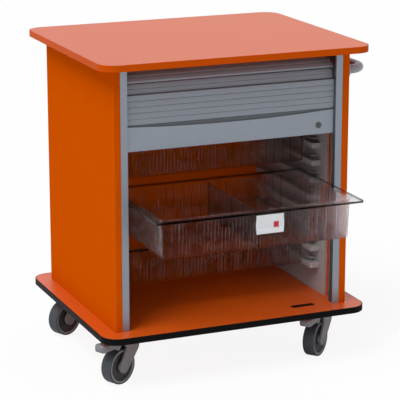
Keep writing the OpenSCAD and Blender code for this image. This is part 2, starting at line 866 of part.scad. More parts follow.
// Pedal that rocks on its pin; the shoe under it bears on the tyre
module brake_pedal() {
    w = fork_gap - 2 * pedal_play;
    arm_end_r = 6.5;
    neck_r = 9.5;
    tip_r = 12;
    tread_l = 32;
    edge_r = 7;
    tip = [pedal_tip - tip_r, pedal_at[1] - 2];
    neck = [pedal_tip - tread_l, tip[1] - 1];
    shoe = [[pedal_at[0] + 18, pedal_at[1] - 2], [trail + 13, wheel_d]];
    color([0.52, 0.52, 0.53]) {
        difference() {
            union() {
                across(w) link_outline(pedal_at, arm_end_r, neck, neck_r);
                across(w) link_outline(shoe[0], 6, shoe[1], 5);
                intersection() {
                    across(w) link_outline(neck, neck_r, tip, tip_r);
                    translate([neck[0] - neck_r, 0, tip[1]]) rotate([90, 0, 90])
                        linear_extrude(2 * pedal_tip) round_rect(w, 2 * tip_r, edge_r);
                }
            }
            across(fork_w) translate([trail, wheel_r]) circle(wheel_r + brake_gap, $fn = 96);
            for (y = [0, 1]) mirror([0, y, 0]) pedal_corner(w * 0.4, w / 2);
        }
        cross_pin(pedal_at, pedal_pin_r, fork_w - 5);
    }
}

// Cuts one outer corner of the pedal round, as seen from above
module pedal_corner(r, side) {
    translate([pedal_tip - r, side - r, wheel_r]) difference() {
        cube([r + through, r + through, wheel_d]);
        translate([0, 0, -through]) cylinder(r = r, h = wheel_d + 2 * through);
    }
}

module caster_axle() {
    color([0.6, 0.6, 0.62]) cross_pin([trail, wheel_r], axle_r, fork_w - fork_arm - 1);
}

// Wheel centre: hub, thin web and the rim that carries the tyre
module caster_wheel() {
    web = 6;
    bore_r = axle_r + turn_fit;
    color([0.50, 0.50, 0.51]) translate([trail, 0, wheel_r]) rotate([90, 0, 0]) rotate_extrude($fn = 72)
        difference() {
            translate([bore_r, 1 - wheel_w / 2]) square([rim_r - bore_r, wheel_w - 2]);
            for (y = [0, 1]) mirror([0, y]) translate([hub_r, web / 2])
                square([rim_r - rim_lip - hub_r, wheel_w]);
        }
}

module caster_tyre() {
    shoulder = 3.5;
    color(tyre_grey) translate([trail, 0, wheel_r]) rotate([90, 0, 0]) rotate_extrude($fn = 96) {
        translate([rim_r, -wheel_w / 2]) square([tyre_t - shoulder, wheel_w]);
        translate([rim_r, shoulder - wheel_w / 2]) square([tyre_t, wheel_w - 2 * shoulder]);
        for (y = [0, 1]) mirror([0, y]) intersection() {
            translate([wheel_r - shoulder, wheel_w / 2 - shoulder]) circle(shoulder);
            translate([rim_r, wheel_w / 2 - shoulder]) square([tyre_t, shoulder]);
        }
    }
}

// Two thread guards that close the sides of the wheel
module wheel_guards() {
    t = 1.5;
    recess = 5;
    color([0.17, 0.17, 0.18]) for (side = [-1, 1])
        translate([trail, side * (wheel_w / 2 - recess), wheel_r]) rotate([90, 0, 0])
            translate([0, 0, -t / 2]) difference() {
                cylinder(r = rim_r - rim_lip - 0.2, h = t);
                translate([0, 0, -through]) cylinder(r = hub_r + 0.2, h = t + 2 * through);
            }
}

top_board();
top_edge_band();
base_board();
base_edge_band();
side_panel(-1);  // side_panel_left
side_panel(1);  // side_panel_right
back_panel();
guide_profile(-1);  // guide_profile_left
guide_profile(1);  // guide_profile_right
shutter_track(-1);  // shutter_track_left
shutter_track(1);  // shutter_track_right
shutter_slats_front();
shutter_slats_stored();
shutter_bar();
lock_rosette();
lock_plug();
lock_bolt();
liner(-1);  // liner_left
liner(1);  // liner_right
runners(-1);  // runners_left
runners(1);  // runners_right
liner_screws();
basket(lower_level + 2 * level_step, 0);  // basket_upper
basket(lower_level + level_step, pulled_out);  // basket_middle
basket(lower_level, 0);  // basket_lower
basket_divider();
label_holder();
label_tab();
push_handle();
handle_flanges();
handle_screws();
caster_screws();
caster_plate(-1, -1);  // caster_plate_fl
at_fl() caster_fork(true);  // caster_fork_fl
at_fl() caster_axle();  // caster_axle_fl
at_fl() caster_wheel();  // caster_wheel_fl
at_fl() caster_tyre();  // caster_tyre_fl
caster_plate(1, -1);  // caster_plate_fr
at_fr() caster_fork(true);  // caster_fork_fr
at_fr() caster_axle();  // caster_axle_fr
at_fr() caster_wheel();  // caster_wheel_fr
at_fr() caster_tyre();  // caster_tyre_fr
caster_plate(-1, 1);  // caster_plate_rl
at_rl() caster_fork(false);  // caster_fork_rl
at_rl() caster_axle();  // caster_axle_rl
at_rl() caster_wheel();  // caster_wheel_rl
at_rl() caster_tyre();  // caster_tyre_rl
caster_plate(1, 1);  // caster_plate_rr
at_rr() caster_fork(false);  // caster_fork_rr
at_rr() caster_axle();  // caster_axle_rr
at_rr() caster_wheel();  // caster_wheel_rr
at_rr() caster_tyre();  // caster_tyre_rr
at_fl() wheel_guards();  // wheel_guards_fl
at_fr() wheel_guards();  // wheel_guards_fr
at_rl() wheel_guards();  // wheel_guards_rl
at_rr() wheel_guards();  // wheel_guards_rr
at_fl() brake_pedal();  // brake_pedal_fl
at_fr() brake_pedal();  // brake_pedal_fr
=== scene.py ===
# %% [markdown]
# # A trolley cabinet with a roll-up shutter and clear baskets
#
# The cabinet is made of melamine-faced boards on four swivel casters. Its solids come
# ready made from the CAD model, in metres, and every one of them keeps its place here.
# This lesson dresses them: boards and mouldings get softened edges, the shutter and the
# baskets are made again with more detail, and each material is written for what it is.

# %% Load the CAD model
import json
import math

import bmesh
import bpy
import numpy as np
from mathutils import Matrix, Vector

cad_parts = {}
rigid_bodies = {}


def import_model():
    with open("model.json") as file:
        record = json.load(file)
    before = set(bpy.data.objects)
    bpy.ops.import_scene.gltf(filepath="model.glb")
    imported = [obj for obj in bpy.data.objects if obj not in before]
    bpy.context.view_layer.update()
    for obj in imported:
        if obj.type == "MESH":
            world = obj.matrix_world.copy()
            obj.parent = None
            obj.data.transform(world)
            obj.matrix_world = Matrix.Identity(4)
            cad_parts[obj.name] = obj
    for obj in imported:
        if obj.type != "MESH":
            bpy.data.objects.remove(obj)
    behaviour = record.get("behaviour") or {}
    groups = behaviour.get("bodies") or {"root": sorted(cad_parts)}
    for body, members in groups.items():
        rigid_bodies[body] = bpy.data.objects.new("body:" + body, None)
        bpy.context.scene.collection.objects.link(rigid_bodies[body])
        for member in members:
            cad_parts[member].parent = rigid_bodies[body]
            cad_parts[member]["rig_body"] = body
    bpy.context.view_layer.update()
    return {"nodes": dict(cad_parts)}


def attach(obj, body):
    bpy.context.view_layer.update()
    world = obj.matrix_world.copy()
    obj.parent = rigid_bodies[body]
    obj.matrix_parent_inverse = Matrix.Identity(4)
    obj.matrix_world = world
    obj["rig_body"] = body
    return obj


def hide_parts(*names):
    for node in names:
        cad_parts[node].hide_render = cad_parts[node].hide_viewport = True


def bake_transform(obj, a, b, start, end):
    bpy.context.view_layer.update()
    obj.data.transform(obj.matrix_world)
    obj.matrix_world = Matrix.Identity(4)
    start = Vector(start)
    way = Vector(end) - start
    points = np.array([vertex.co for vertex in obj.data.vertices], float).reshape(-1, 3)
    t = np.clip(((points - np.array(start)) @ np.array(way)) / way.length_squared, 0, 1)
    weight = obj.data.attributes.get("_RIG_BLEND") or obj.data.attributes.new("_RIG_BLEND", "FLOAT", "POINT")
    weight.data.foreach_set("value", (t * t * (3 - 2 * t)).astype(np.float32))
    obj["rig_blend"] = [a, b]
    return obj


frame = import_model()
nodes = frame["nodes"]
MM = 0.001

# %% [markdown]
# ## The camera
#
# The camera stands in front of the left front corner, a little above the worktop, and
# looks down by 15 degrees. A long lens keeps the uprights nearly parallel. Its place was
# solved from the straight edges of the two boards in the photograph.

# %% Place the camera
camera_data = bpy.data.cameras.new("Camera")
camera_data.sensor_width = 36.0
camera_data.lens = 164.1
camera_data.clip_end = 100.0
camera = bpy.data.objects.new("Camera", camera_data)
camera.location = (-1.9432, -4.6083, 1.7506)
camera.rotation_euler = (math.radians(90 - 14.893), 0.0, math.radians(-23.019))
bpy.context.collection.objects.link(camera)
bpy.context.scene.camera = camera
bpy.context.scene.view_settings.view_transform = "Standard"
print("camera stands", round(camera.location.length, 2), "m away")

# %% [markdown]
# ## Small helpers
#
# Shader trees and geometry trees are built by the same call: it adds one node, sets its
# settings, and fills its sockets with a value or a link. A second call turns a colour as
# it is read off a screen into the linear values that a shader wants.

# %% Add a node, read a colour
def add(tree, kind, sockets=None, **settings):
    made = tree.nodes.new(kind)
    for key, value in settings.items():
        setattr(made, key, value)
    for key, value in (sockets or {}).items():
        socket = made.inputs[key]
        if isinstance(value, bpy.types.NodeSocket):
            tree.links.new(value, socket)
        else:
            socket.default_value = value
    return made


def linear(hex_colour):
    parts = [int(hex_colour[k:k + 2], 16) / 255 for k in (0, 2, 4)]
    return (*[p / 12.92 if p <= 0.04045 else ((p + 0.055) / 1.055) ** 2.4 for p in parts], 1.0)


def shader_of(name, colour, **sockets):
    """A new material with its base colour and plain socket values, and its tree and shader."""
    material = bpy.data.materials.new(name)
    material.use_nodes = True
    shader = material.node_tree.nodes["Principled BSDF"]
    shader.inputs["Base Color"].default_value = linear(colour)
    for key, value in sockets.items():
        shader.inputs[key.replace("_", " ")].default_value = value
    return material, material.node_tree, shader


def join(tree, value, shader, socket):
    tree.links.new(value, shader.inputs[socket])


print("ff8000 in linear light:", [round(v, 3) for v in linear("ff8000")])

# %% [markdown]
# ## Melamine boards
#
# The boards are chipboard faced with paper soaked in melamine resin and pressed against
# an etched steel plate. The plate leaves a fine pearl in the face: a satin gloss that
# breaks up a reflection. Two noises do this, one for the pearl and one, much larger, for
# the faint unevenness of the printed colour.

# %% Melamine, pressed with a pearl texture
def melamine(name, colour, deep, roughness, **gloss_values):
    material, tree, shader = shader_of(name, colour, Roughness=roughness, **gloss_values)
    place = add(tree, "ShaderNodeTexCoord").outputs["Object"]
    cloud = add(tree, "ShaderNodeTexNoise", {"Vector": place, "Scale": 1 / 0.09, "Detail": 3.0})
    tone = add(tree, "ShaderNodeMixRGB", {"Fac": cloud.outputs["Fac"],
                                          "Color1": linear(deep), "Color2": linear(colour)})
    join(tree, tone.outputs["Color"], shader, "Base Color")
    # the pearl of the press plate is 1.2 mm across and drawn twice as coarse, so that it shows
    pearl = add(tree, "ShaderNodeTexNoise", {"Vector": place, "Scale": 1 / 0.0024, "Detail": 1.0})
    gloss = add(tree, "ShaderNodeMapRange", {"Value": pearl.outputs["Fac"],
                                             "To Min": roughness - 0.05,
                                             "To Max": roughness + 0.05})
    join(tree, gloss.outputs["Result"], shader, "Roughness")
    bump = add(tree, "ShaderNodeBump", {"Height": pearl.outputs["Fac"],
                                        "Strength": 0.12, "Distance": 0.0004})
    join(tree, bump.outputs["Normal"], shader, "Normal")
    return material


# the worktop and the base board are polished by use, the upright panels have kept their matt
melamine_board = melamine("melamine_board_orange", "CA5000", "C64D00", 0.42, IOR=1.66)
melamine_panel = melamine("melamine_panel_orange", "C65000", "C24D00", 0.5,
                          Specular_IOR_Level=0.0)
print("melamine made")

# %% [markdown]
# ## ABS edging
#
# The boards' edges are closed with an extruded ABS band, glued on and trimmed flush. It
# has the finest lines along its length, left by the die, and is a little glossier than
# the faces. The lower board has a thick black one, because it takes the knocks.

# %% ABS band, extruded
def edging(name, colour, deep, roughness):
    material, tree, shader = shader_of(name, colour, Roughness=roughness,
                                       Specular_IOR_Level=0.03)
    place = add(tree, "ShaderNodeTexCoord").outputs["Object"]
    # lines run round the board, so the pattern is stretched level: 1.5 mm high, 120 mm long
    level = add(tree, "ShaderNodeMapping", {"Vector": place, "Scale": (8.0, 8.0, 660.0)})
    line = add(tree, "ShaderNodeTexNoise", {"Vector": level.outputs["Vector"], "Scale": 1.0,
                                            "Detail": 2.0})
    tone = add(tree, "ShaderNodeMixRGB", {"Fac": line.outputs["Fac"],
                                          "Color1": linear(deep), "Color2": linear(colour)})
    join(tree, tone.outputs["Color"], shader, "Base Color")
    bump = add(tree, "ShaderNodeBump", {"Height": line.outputs["Fac"],
                                        "Strength": 0.2, "Distance": 0.0002})
    join(tree, bump.outputs["Normal"], shader, "Normal")
    return material


edging_orange = edging("abs_edging_orange", "C54D00", "BB4700", 0.4)
# the same black also paints the shade in and round the lock's slot in the base board
black_edging_and_slot_shade = edging("abs_edging_black", "131314", "0E0E0F", 0.45)
print("edging made")

# %% [markdown]
# ## Anodised aluminium
#
# The uprights beside the shutter and the bar at its lower end are extruded, satin etched
# and clear anodised. Etching leaves a soft grey metal with faint streaks, which are drawn
# upright, the way the two long profiles were pressed.

# %% Anodised aluminium, satin
aluminium, tree, shader = shader_of("anodised_aluminium", "8C929B", Metallic=1.0,
                                    Roughness=0.5, Anisotropic=0.3)
place = add(tree, "ShaderNodeTexCoord").outputs["Object"]
# streaks are 0.8 mm wide and 200 mm long
upright = add(tree, "ShaderNodeMapping", {"Vector": place, "Scale": (1250.0, 1250.0, 5.0)})
streak = add(tree, "ShaderNodeTexNoise", {"Vector": upright.outputs["Vector"], "Scale": 1.0,
                                          "Detail": 2.0})
tone = add(tree, "ShaderNodeMixRGB", {"Fac": streak.outputs["Fac"],
                                      "Color1": linear("858B94"), "Color2": linear("9298A1")})
join(tree, tone.outputs["Color"], shader, "Base Color")
gloss = add(tree, "ShaderNodeMapRange", {"Value": streak.outputs["Fac"],
                                         "To Min": 0.44, "To Max": 0.56})
join(tree, gloss.outputs["Result"], shader, "Roughness")
bump = add(tree, "ShaderNodeBump", {"Height": streak.outputs["Fac"],
                                    "Strength": 0.15, "Distance": 0.0001})
join(tree, bump.outputs["Normal"], shader, "Normal")
print("aluminium made")

# %% [markdown]
# ## Shutter slats
#
# The slats are extruded in rigid PVC, grey right through. The die leaves lines along each
# slat, so across the cabinet, and the surface is satin.

# %% Rigid PVC, extruded
pvc_slat, tree, shader = shader_of("pvc_shutter_grey", "8D949E", Roughness=0.45,
                                   Specular_IOR_Level=0.3)
place = add(tree, "ShaderNodeTexCoord").outputs["Object"]
# die lines are 0.7 mm apart and 300 mm long
across = add(tree, "ShaderNodeMapping", {"Vector": place, "Scale": (3.3, 1400.0, 1400.0)})
line = add(tree, "ShaderNodeTexNoise", {"Vector": across.outputs["Vector"], "Scale": 1.0,
                                        "Detail": 2.0})
tone = add(tree, "ShaderNodeMixRGB", {"Fac": line.outputs["Fac"],
                                      "Color1": linear("888F99"), "Color2": linear("939AA4")})
join(tree, tone.outputs["Color"], shader, "Base Color")
bump = add(tree, "ShaderNodeBump", {"Height": line.outputs["Fac"],
                                    "Strength": 0.2, "Distance": 0.0001})
join(tree, bump.outputs["Normal"], shader, "Normal")
print("PVC made")

# %% [markdown]
# ## Moulded plastics
#
# Forks, pedals, wheel centres, the cabinet's liners, the shutter's tracks and the label's
# holder are injection moulded in tools with an eroded surface. It prints as a fine matt
# grain that scatters the highlight. One recipe serves them all, with the grain's size and
# the colour as what differs. The red card borrows it for the grain of its paper.

# %% Nylon, polypropylene, ABS, acetal and polystyrene, moulded
def moulded(name, colour, deep, grain_mm, roughness):
    material, tree, shader = shader_of(name, colour, Roughness=roughness, IOR=1.5)
    place = add(tree, "ShaderNodeTexCoord").outputs["Object"]
    grain = add(tree, "ShaderNodeTexNoise", {"Vector": place, "Scale": 1 / (grain_mm * MM),
                                             "Detail": 3.0})
    cloud = add(tree, "ShaderNodeTexNoise", {"Vector": place, "Scale": 1 / 0.03})
    tone = add(tree, "ShaderNodeMixRGB", {"Fac": cloud.outputs["Fac"],
                                          "Color1": linear(deep), "Color2": linear(colour)})
    join(tree, tone.outputs["Color"], shader, "Base Color")
    gloss = add(tree, "ShaderNodeMapRange", {"Value": grain.outputs["Fac"],
                                             "To Min": roughness - 0.06,
                                             "To Max": roughness + 0.06})
    join(tree, gloss.outputs["Result"], shader, "Roughness")
    bump = add(tree, "ShaderNodeBump", {"Height": grain.outputs["Fac"],
                                        "Strength": 0.25, "Distance": 0.0002})
    join(tree, bump.outputs["Normal"], shader, "Normal")
    return material


nylon_fork = moulded("nylon_fork_grey", "7A7B7D", "727375", 0.8, 0.45)
nylon_pedal = moulded("nylon_pedal_grey", "76777A", "6E6F72", 0.8, 0.42)
wheel_centre = moulded("polypropylene_wheel_grey", "8E8F92", "86878A", 0.8, 0.4)
guard_disc = moulded("polypropylene_guard_dark", "2C2E31", "26282A", 1.0, 0.5)
liner_abs = moulded("abs_liner_grey", "A9A4A5", "A19C9D", 1.2, 0.5)
# a darker grey that paints the shade of the bar's finger recess, not a part of its own
recess_painted_shade = moulded("abs_recess_painted_shade_grey", "565B62", "4E5359", 0.8, 0.5)
track_pom = moulded("acetal_track_grey", "5A5B5E", "525356", 0.8, 0.45)
label_plastic = moulded("polystyrene_label_white", "DDE0E3", "D6D9DD", 0.6, 0.35)
card_red = moulded("card_red", "C01C2C", "B41828", 0.5, 0.6)
print("moulded plastics made")

# %% [markdown]
# ## Tyres
#
# The tyres are a soft non-marking rubber with a blue-grey tint. Rubber has a broad, weak
# highlight, and its tread goes a shade lighter where it has rolled.

# %% Thermoplastic rubber
rubber, tree, shader = shader_of("rubber_tyre_blue_grey", "2C333B", Roughness=0.6, IOR=1.52)
place = add(tree, "ShaderNodeTexCoord").outputs["Object"]
dust = add(tree, "ShaderNodeTexNoise", {"Vector": place, "Scale": 1 / 0.012, "Detail": 4.0})
tone = add(tree, "ShaderNodeMixRGB", {"Fac": dust.outputs["Fac"],
                                      "Color1": linear("272D35"), "Color2": linear("343B44")})
join(tree, tone.outputs["Color"], shader, "Base Color")
skin = add(tree, "ShaderNodeTexNoise", {"Vector": place, "Scale": 1 / 0.001, "Detail": 2.0})
bump = add(tree, "ShaderNodeBump", {"Height": skin.outputs["Fac"],
                                    "Strength": 0.3, "Distance": 0.0002})
join(tree, bump.outputs["Normal"], shader, "Normal")
print("rubber made")

# %% [markdown]
# ## Plated and coated steel
#
# Screws, axles and caster plates are zinc plated: a pale metal with a mottled bloom. The
# lock is nickel plated and smooth. The handle is steel tube with a powder coat, which
# flows out to a slight orange peel.

# %% Zinc, nickel and powder coat
def plated(name, colour, deep, roughness):
    material, tree, shader = shader_of(name, colour, Metallic=1.0, Roughness=roughness)
    place = add(tree, "ShaderNodeTexCoord").outputs["Object"]
    bloom = add(tree, "ShaderNodeTexNoise", {"Vector": place, "Scale": 1 / 0.004, "Detail": 3.0})
    tone = add(tree, "ShaderNodeMixRGB", {"Fac": bloom.outputs["Fac"],
                                          "Color1": linear(deep), "Color2": linear(colour)})
    join(tree, tone.outputs["Color"], shader, "Base Color")
    gloss = add(tree, "ShaderNodeMapRange", {"Value": bloom.outputs["Fac"],
                                             "To Min": roughness - 0.08,
                                             "To Max": roughness + 0.08})
    join(tree, gloss.outputs["Result"], shader, "Roughness")
    return material


zinc = plated("zinc_plated_steel", "B4B6B8", "9A9C9F", 0.38)
nickel = plated("nickel_plated_lock", "5E6063", "4E5053", 0.28)

powder, tree, shader = shader_of("powder_coat_grey", "8E8D96", Roughness=0.35)
place = add(tree, "ShaderNodeTexCoord").outputs["Object"]
peel = add(tree, "ShaderNodeTexNoise", {"Vector": place, "Scale": 1 / 0.002, "Detail": 1.0})
tone = add(tree, "ShaderNodeMixRGB", {"Fac": peel.outputs["Fac"],
                                      "Color1": linear("888790"), "Color2": linear("94939C")})
join(tree, tone.outputs["Color"], shader, "Base Color")
bump = add(tree, "ShaderNodeBump", {"Height": peel.outputs["Fac"],
                                    "Strength": 0.2, "Distance": 0.0003})
join(tree, bump.outputs["Normal"], shader, "Normal")
print("plated and coated steel made")

# %% [markdown]
# ## Clear baskets
#
# The baskets are moulded in clear polycarbonate with a trace of smoke in it. Light passes
# through and bends only a little, because the walls are thin, so the index is written
# lower than the solid plastic's. Shadows and stray light would need far too many samples
# that way, so for them the plastic is mostly absent, by its alpha, and the camera sees a
# wall less than half, so that a look through many walls stays clear. The crests of the ribs
# are rubbed dull where baskets are stacked into each other: there some of the light is
# scattered, more at one place than at the next, and they show as fine pale lines. The lip
# of the rim is seen on edge, through a long way of plastic, and so it is dark.

# %% Clear polycarbonate: polished wall, rubbed rib and lip on edge
LEFT_FOR_SHADOWS = 0.22


def polycarbonate(name, deep, pale, through_low, through_high, haze, seen):
    material, tree, shader = shader_of(name, "ECEBEE", IOR=1.22, Transmission_Weight=1.0,
                                       Specular_Tint=linear("686868"))
    place = add(tree, "ShaderNodeTexCoord").outputs["Object"]
    # flow streaks are 3 mm wide and 80 mm long
    upright = add(tree, "ShaderNodeMapping", {"Vector": place, "Scale": (330.0, 330.0, 12.0)})
    flow = add(tree, "ShaderNodeTexNoise", {"Vector": upright.outputs["Vector"], "Scale": 1.0,
                                            "Detail": 2.0})
    tone = add(tree, "ShaderNodeMixRGB", {"Fac": flow.outputs["Fac"],
                                          "Color1": linear(deep), "Color2": linear(pale)})
    join(tree, tone.outputs["Color"], shader, "Base Color")
    rough = add(tree, "ShaderNodeMapRange", {"Value": flow.outputs["Fac"],
                                             "To Min": 0.0, "To Max": haze})
    join(tree, rough.outputs["Result"], shader, "Roughness")
    # rubbed places are 25 mm wide
    wide = add(tree, "ShaderNodeTexNoise", {"Vector": place, "Scale": 1 / 0.025})
    through = add(tree, "ShaderNodeMapRange", {"Value": wide.outputs["Fac"], "From Min": 0.4,
                                               "From Max": 0.6, "To Min": through_low,
                                               "To Max": through_high})
    join(tree, through.outputs["Result"], shader, "Transmission Weight")
    ray = add(tree, "ShaderNodeLightPath").outputs
    unseen = add(tree, "ShaderNodeMath", {0: ray["Is Shadow Ray"], 1: ray["Is Diffuse Ray"]},
                 operation="MAXIMUM")
    present = add(tree, "ShaderNodeMapRange", {"Value": unseen.outputs[0], "To Min": seen,
                                               "To Max": LEFT_FOR_SHADOWS})
    join(tree, present.outputs["Result"], shader, "Alpha")
    return material


clear = polycarbonate("clear_polycarbonate", "D8CFD1", "EFE8E9", 0.995, 1.0, 0.03, 0.45)
clear_rubbed = polycarbonate("clear_polycarbonate_rubbed", "DCD8DB", "F4F1F3", 0.76, 1.0, 0.1,
                             0.4)
clear_lip = polycarbonate("clear_polycarbonate_lip", "2A2425", "3A3234", 0.95, 1.0, 0.1, 0.9)
print("clear plastic made")

# %% [markdown]
# ## Softened edges
#
# A CAD solid has perfectly sharp edges, and nothing real has. A copy of the solid is
# merged, its flat faces are joined again, and a bevel of the piece's own radius rounds
# what is sharper than a limit. The copy stands for the CAD node and rides on its body.

# %% Make a softened copy of a CAD piece
def merged(node):
    """A bmesh of a CAD node's solids with shared corners and whole flat faces."""
    shape = bmesh.new()
    shape.from_mesh(nodes[node].data)
    bmesh.ops.remove_doubles(shape, verts=shape.verts, dist=2e-6)
    bmesh.ops.dissolve_limit(shape, angle_limit=math.radians(0.6), verts=shape.verts,
                             edges=shape.edges)
    return shape


def as_object(name, mesh):
    made = bpy.data.objects.new(name, mesh)
    bpy.context.collection.objects.link(made)
    return made


def closed_object(name, vertices, faces, sharper_than):
    """A closed shape from corners and faces, facing outwards and smooth where it is round."""
    mesh = bpy.data.meshes.new(name)
    mesh.from_pydata([tuple(place) for place in vertices], [], faces)
    shape = bmesh.new()
    shape.from_mesh(mesh)
    bmesh.ops.recalc_face_normals(shape, faces=shape.faces)
    shape.to_mesh(mesh)
    shape.free()
    mesh.shade_smooth()
    mesh.set_sharp_from_angle(angle=math.radians(sharper_than))
    return as_object(name, mesh)


def settled(name, source):
    """Turns what an object's modifiers show into a plain mesh object, and removes the source."""
    bpy.context.view_layer.update()
    depsgraph = bpy.context.evaluated_depsgraph_get()
    mesh = bpy.data.meshes.new_from_object(source.evaluated_get(depsgraph), depsgraph=depsgraph)
    bpy.data.objects.remove(source)
    mesh.name = name
    return as_object(name, mesh)


def dress(piece, body, material=None):
    if material:
        piece.data.materials.clear()
        piece.data.materials.append(material)
    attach(piece, body)
    return piece


def softened(node, material, radius_mm, sharper_than=32, segments=2):
    shape = merged(node)
    mesh = bpy.data.meshes.new(node + "_soft")
    shape.to_mesh(mesh)
    shape.free()
    mesh.shade_smooth()
    mesh.set_sharp_from_angle(angle=math.radians(sharper_than))
    source = as_object(node + "_source", mesh)
    bevel = source.modifiers.new("Edges", "BEVEL")
    bevel.width = radius_mm * MM
    bevel.segments = segments
    bevel.limit_method = "ANGLE"
    bevel.angle_limit = math.radians(sharper_than)
    bevel.harden_normals = True  # flat faces stay flat beside the rounded edge
    piece = settled(node + "_soft", source)
    dress(piece, nodes[node]["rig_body"], material)
    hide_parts(node)
    print(piece.name, len(piece.data.polygons), "faces")
    return piece


softened("top_board", melamine_board, 0.4)
base = softened("base_board", melamine_board, 0.4)
for node in ("side_panel_left", "side_panel_right", "back_panel"):
    softened(node, melamine_panel, 0.4)
softened("top_edge_band", edging_orange, 1.2, segments=3)
softened("base_edge_band", black_edging_and_slot_shade, 1.5, segments=3)
for node in ("guide_profile_left", "guide_profile_right"):
    softened(node, aluminium, 0.8)
bar = softened("shutter_bar", aluminium, 0.9)

# %% Paint shade into the finger recess over the bar
# what lies behind the bar's front and looks forward or up there is painted a darker grey: painted shade of
# the finger recess
BAR_FRONT, RECESS_FOOT = -258.6 * MM, 690 * MM
bar.data.materials.append(recess_painted_shade)
painted_shade_faces = [face for face in bar.data.polygons if face.center.y > BAR_FRONT
         and face.center.z > RECESS_FOOT and face.normal.y < 0.3]
for face in painted_shade_faces:
    face.material_index = 1
print("recess", len(painted_shade_faces), "faces")

# %% [markdown]
# The lock's bolt enters a slot in the base board. Its shade is painted black, down its walls
# and on a flush patch round it: the outline is cut into the board's faces, and the faces within take the
# edging's black.

# %% Cut in the painted shade round the bolt's slot
base.data.materials.append(black_edging_and_slot_shade)
SLOT_SHADE_LOW, SLOT_SHADE_HIGH = Vector((0.186, -0.262, 0.0)), Vector((0.254, -0.242, 1.0))
shape = bmesh.new()
shape.from_mesh(base.data)
for corner in (SLOT_SHADE_LOW, SLOT_SHADE_HIGH):
    for axis in ((1, 0, 0), (0, 1, 0)):
        bmesh.ops.bisect_plane(shape, geom=shape.verts[:] + shape.edges[:] + shape.faces[:],
                               plane_co=corner, plane_no=axis)
for face in shape.faces:
    inside = all(a < c < b for a, c, b in zip(SLOT_SHADE_LOW, face.calc_center_median(), SLOT_SHADE_HIGH))
    # the board's underside stays orange
    face.material_index = int(inside and face.normal.z > -0.9)
print("painted slot shade has", sum(face.material_index for face in shape.faces), "faces")
shape.to_mesh(base.data)
shape.free()

# %% [markdown]
# ## Liners, lock and handle
#
# The liners inside the sides are large mouldings whose runners have rounded noses. The
# handle's tube and its flanges are round already and only need a small radius where the
# flange meets the air.

# %% Dress the liners, the lock and the handle
for node in ("liner_left", "liner_right", "runners_left", "runners_right"):
    softened(node, liner_abs, 1.0)
for node in ("lock_rosette", "lock_plug"):
    softened(node, nickel, 0.3)
softened("lock_bolt", zinc, 0.3)
softened("handle_flanges", powder, 1.0)
softened("push_handle", powder, 0.4)
label = softened("label_holder", label_plastic, 0.4)
softened("label_tab", card_red, 0.2)

# %% Leave the holder clear above and below its white card
label.data.materials.append(clear)
CARD_LOW, CARD_HIGH = 441.4 * MM, 492.0 * MM
shape = bmesh.new()
shape.from_mesh(label.data)
for z in (CARD_LOW, CARD_HIGH):
    bmesh.ops.bisect_plane(shape, geom=shape.verts[:] + shape.edges[:] + shape.faces[:],
                           plane_co=(0, 0, z), plane_no=(0, 0, 1))
for face in shape.faces:
    face.material_index = 0 if CARD_LOW < face.calc_center_median().z < CARD_HIGH else 1
shape.to_mesh(label.data)
shape.free()
print("the card is", round((CARD_HIGH - CARD_LOW) / MM, 1), "mm high")

# %% [markdown]
# ## Casters
#
# Each caster has a plate, a fork, a wheel centre with its tyre, two discs that keep thread
# out of the axle, and in front a brake pedal. The mouldings are thick and soft edged, so
# their radius is the largest on the trolley.

# %% Dress plates, forks, axles and pedals
for corner in ("fl", "fr", "rl", "rr"):
    softened("caster_fork_" + corner, nylon_fork, 1.5)
    softened("caster_plate_" + corner, zinc, 0.4)
    softened("caster_axle_" + corner, zinc, 0.4)

# a foot has worn the pedal round: its shape is cast again from small cells and smoothed
WEAR_CELL, WEAR_ROUNDS = 1.5 * MM, 45
for corner in ("fl", "fr"):
    pedal = softened("brake_pedal_" + corner, nylon_pedal, 1.0)
    cells = pedal.modifiers.new("Cells", "REMESH")
    cells.mode, cells.voxel_size, cells.use_smooth_shade = "VOXEL", WEAR_CELL, True
    worn = pedal.modifiers.new("Worn", "SMOOTH")
    worn.factor, worn.iterations = 0.5, WEAR_ROUNDS
    bpy.context.view_layer.update()
    depsgraph = bpy.context.evaluated_depsgraph_get()
    shaped = bpy.data.meshes.new_from_object(pedal.evaluated_get(depsgraph), depsgraph=depsgraph)
    pedal.modifiers.clear()
    pedal.data = shaped
    print(pedal.name, len(shaped.polygons), "faces after wear")

# %% [markdown]
# What is round about the axle is drawn as a section, by radius and place along the axle,
# and turned. The axle is level and square to the way from the swivel to the wheel, and both
# middles come from the CAD. The guard discs sit 4 mm deep inside the rim, which therefore
# shows as a light ring round a dark disc.

# %% Turn the wheels, tyres and guards
def eased(section):
    """The section's square corners, each given as radius, place and rounding, made round."""
    points = []
    for k, (r, x, rounding) in enumerate(section):
        here = Vector((r, x))
        back = (Vector(section[k - 1][:2]) - here).normalized()
        on = (Vector(section[(k + 1) % len(section)][:2]) - here).normalized()
        for a in np.linspace(0, math.pi / 2, 3 if rounding < 2 else 7):
            points.append(here + (back * (1 - math.sin(a)) + on * (1 - math.cos(a))) * rounding)
    return points


def middle_of(node):
    box = nodes[node].bound_box
    return (Vector(box[0]) + Vector(box[6])) / 2


